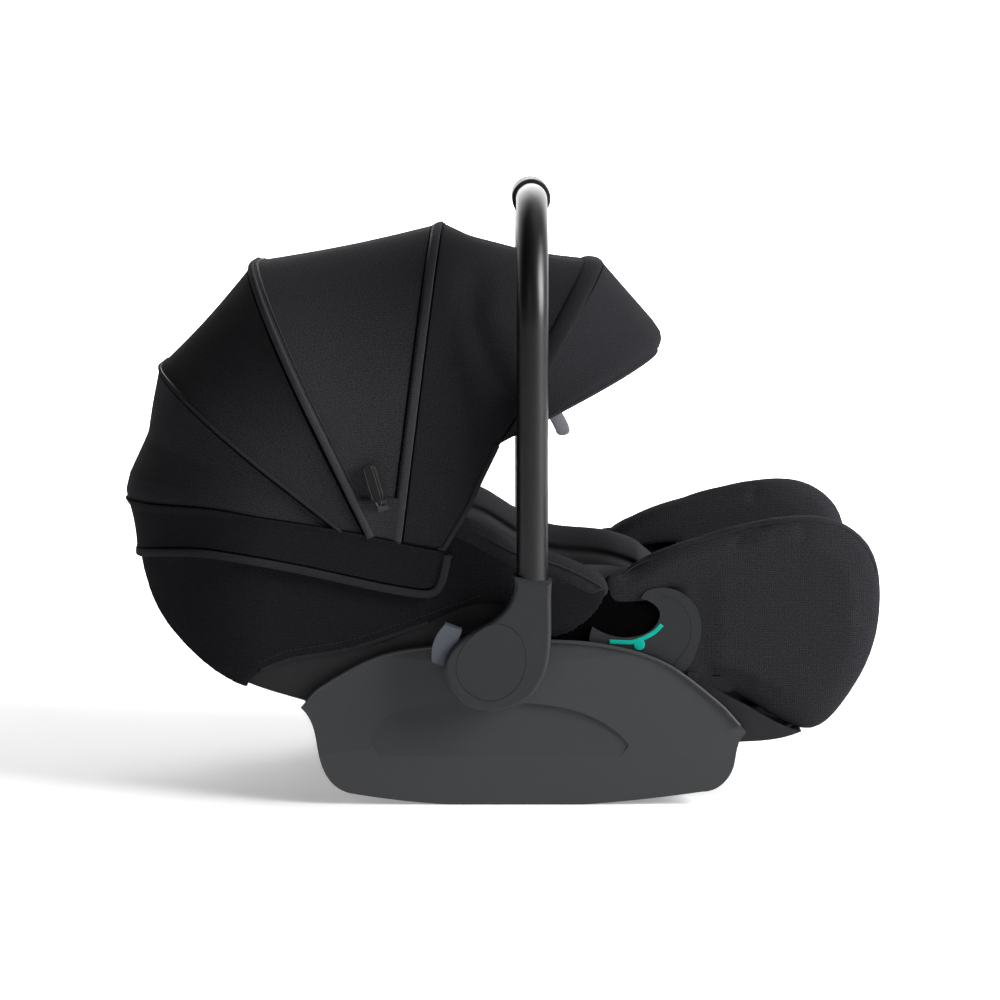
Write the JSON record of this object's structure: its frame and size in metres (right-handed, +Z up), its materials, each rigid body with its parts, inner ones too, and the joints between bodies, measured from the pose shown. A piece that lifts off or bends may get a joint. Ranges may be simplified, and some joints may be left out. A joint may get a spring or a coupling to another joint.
{
  "type": "infant car seat",
  "caption": "Infant carrier seat: rocker base, swinging carry handle, reclining padded tub, harness, belt guides and a folding cloth canopy with a stiff visor.",
  "frame": {"origin": "middle of the rocker's flat underside, on the floor, below the middle of the outline", "axes": "+X towards the feet, +Y across the seat, +Z up"},
  "size_m": [0.6978, 0.44, 0.567],
  "materials": {
    "base_plastic": "moulded satin dark grey",
    "hub_plastic": "moulded satin near-black",
    "tub_plastic": "moulded satin dark grey",
    "guide_plastic": "moulded satin black",
    "belt_mark": "moulded teal green",
    "steel": "zinc plated",
    "handle_aluminium": "black anodised satin",
    "grip_plastic": "moulded black",
    "button_plastic": "moulded blue grey",
    "cover_fabric": "black woven polyester",
    "liner_fabric": "black knitted polyester over foam",
    "canopy_fabric": "black woven polyester",
    "webbing": "black woven webbing",
    "bow_wire": "black coated spring wire",
    "buckle_plastic": "moulded black",
    "release_red": "moulded red",
    "zip_metal": "plated zip slider",
    "pull_rubber": "moulded black rubber"
  },
  "bodies": {
    "base": {"base_shell": "base_plastic", "pivot_pins": "steel", "lock_gears": "steel", "dock_bar_rear": "steel", "dock_bar_front": "steel", "recline_rack": "tub_plastic"},
    "handle": {"handle_tube": "handle_aluminium", "handle_grip": "grip_plastic", "hub_near": "hub_plastic", "hub_far": "hub_plastic", "hub_caps": "hub_plastic", "hub_back_plates": "hub_plastic", "hub_screws": "steel"},
    "button_near": {"handle_button_near": "button_plastic"},
    "button_far": {"handle_button_far": "button_plastic"},
    "seat": {"seat_shell": "tub_plastic", "seat_liner": "liner_fabric", "head_cover": "cover_fabric", "leg_wing_near": "cover_fabric", "leg_wing_far": "cover_fabric", "belt_guide_near": "guide_plastic", "belt_guide_far": "guide_plastic", "belt_marks": "belt_mark", "cover_clips": "tub_plastic", "body_insert": "liner_fabric", "leg_pad": "liner_fabric", "headrest_rail": "tub_plastic", "shoulder_straps": "webbing", "shoulder_pads": "liner_fabric", "crotch_strap": "webbing", "crotch_pad": "liner_fabric", "buckle": "buckle_plastic", "buckle_tongues": "steel", "hip_straps": "webbing", "harness_adjuster": "buckle_plastic", "canopy_hem": "cover_fabric", "canopy_pins": "bow_wire", "canopy_panel_rear": "canopy_fabric", "recline_cable": "pull_rubber"},
    "headrest": {"headrest_plate": "tub_plastic", "head_pillow": "liner_fabric"},
    "buckle_release": {"buckle_button": "release_red"},
    "adjuster_release": {"adjuster_button": "buckle_plastic"},
    "recline_pull": {"recline_handle": "tub_plastic"},
    "recline_lock": {"recline_latch": "tub_plastic"},
    "canopy_1": {"bow_rear": "bow_wire", "canopy_panel_middle": "canopy_fabric"},
    "canopy_2": {"bow_zip_rear": "bow_wire", "canopy_panel_zip": "canopy_fabric", "zip_slider": "zip_metal"},
    "canopy_3": {"bow_zip_front": "bow_wire", "canopy_panel_front": "canopy_fabric"},
    "canopy_4": {"bow_front": "bow_wire", "visor": "canopy_fabric", "canopy_tab": "pull_rubber"},
    "zip_tag": {"zip_pull": "pull_rubber"}
  },
  "joints": [
    {"name": "handle_swing", "type": "hinge", "parent": "base", "child": "handle", "pos_m": [-0.006, 0, 0.138], "axis": [0, 1, 0], "range_deg": [-10, 100]},
    {"name": "button_near_press", "type": "slide", "parent": "handle", "child": "button_near", "axis": [0.9455, 0, -0.3256], "range_m": [0, 0.005], "stiffness_N_per_m": 1500},
    {"name": "button_far_press", "type": "slide", "parent": "handle", "child": "button_far", "axis": [0.9455, 0, -0.3256], "range_m": [0, 0.005], "stiffness_N_per_m": 1500},
    {"name": "seat_recline", "type": "hinge", "parent": "base", "child": "seat", "pos_m": [-0.006, 0, 0.138], "axis": [0, 1, 0], "range_deg": [0, 8]},
    {"name": "headrest_slide", "type": "slide", "parent": "seat", "child": "headrest", "axis": [-0.9463, 0, 0.3232], "range_m": [0, 0.022]},
    {"name": "buckle_press", "type": "slide", "parent": "seat", "child": "buckle_release", "axis": [0, 0, -1], "range_m": [0, 0.0025], "stiffness_N_per_m": 1500},
    {"name": "adjuster_press", "type": "slide", "parent": "seat", "child": "adjuster_release", "axis": [0.0556, 0, -0.9985], "range_m": [0, 0.002], "stiffness_N_per_m": 1500},
    {"name": "recline_pull_slide", "type": "slide", "parent": "seat", "child": "recline_pull", "axis": [1, 0, 0], "range_m": [0, 0.008], "stiffness_N_per_m": 800},
    {"name": "recline_lock_slide", "type": "slide", "parent": "seat", "child": "recline_lock", "axis": [0, 0, 1], "range_m": [0, 0.004]},
    {"name": "canopy_fold", "type": "hinge", "parent": "seat", "child": "canopy_1", "pos_m": [-0.075, 0, 0.228], "axis": [0, -1, 0], "range_deg": [0, 19], "deforming": ["canopy_panel_rear"]},
    {"name": "canopy_fold_2", "type": "hinge", "parent": "canopy_1", "child": "canopy_2", "pos_m": [-0.075, 0, 0.228], "axis": [0, -1, 0], "range_deg": [0, 17.6], "deforming": ["canopy_panel_middle"]},
    {"name": "canopy_fold_3", "type": "hinge", "parent": "canopy_2", "child": "canopy_3", "pos_m": [-0.075, 0, 0.228], "axis": [0, -1, 0], "range_deg": [0, 27.6], "deforming": ["canopy_panel_zip"]},
    {"name": "canopy_fold_4", "type": "hinge", "parent": "canopy_3", "child": "canopy_4", "pos_m": [-0.075, 0, 0.228], "axis": [0, -1, 0], "range_deg": [0, 24], "deforming": ["canopy_panel_front"]},
    {"name": "zip_tag_swing", "type": "hinge", "parent": "canopy_2", "child": "zip_tag", "pos_m": [-0.106, -0.1868, 0.276], "axis": [0.9613, 0, 0.2756], "range_deg": [0, 150]}
  ],
  "couplings": [
    {"joint": "canopy_fold_2", "follows": "canopy_fold", "ratio": 0.92105},
    {"joint": "canopy_fold_3", "follows": "canopy_fold", "ratio": 1.4474},
    {"joint": "canopy_fold_4", "follows": "canopy_fold", "ratio": 1.2579},
    {"joint": "recline_lock_slide", "follows": "recline_pull_slide", "ratio": 0.5}
  ]
}
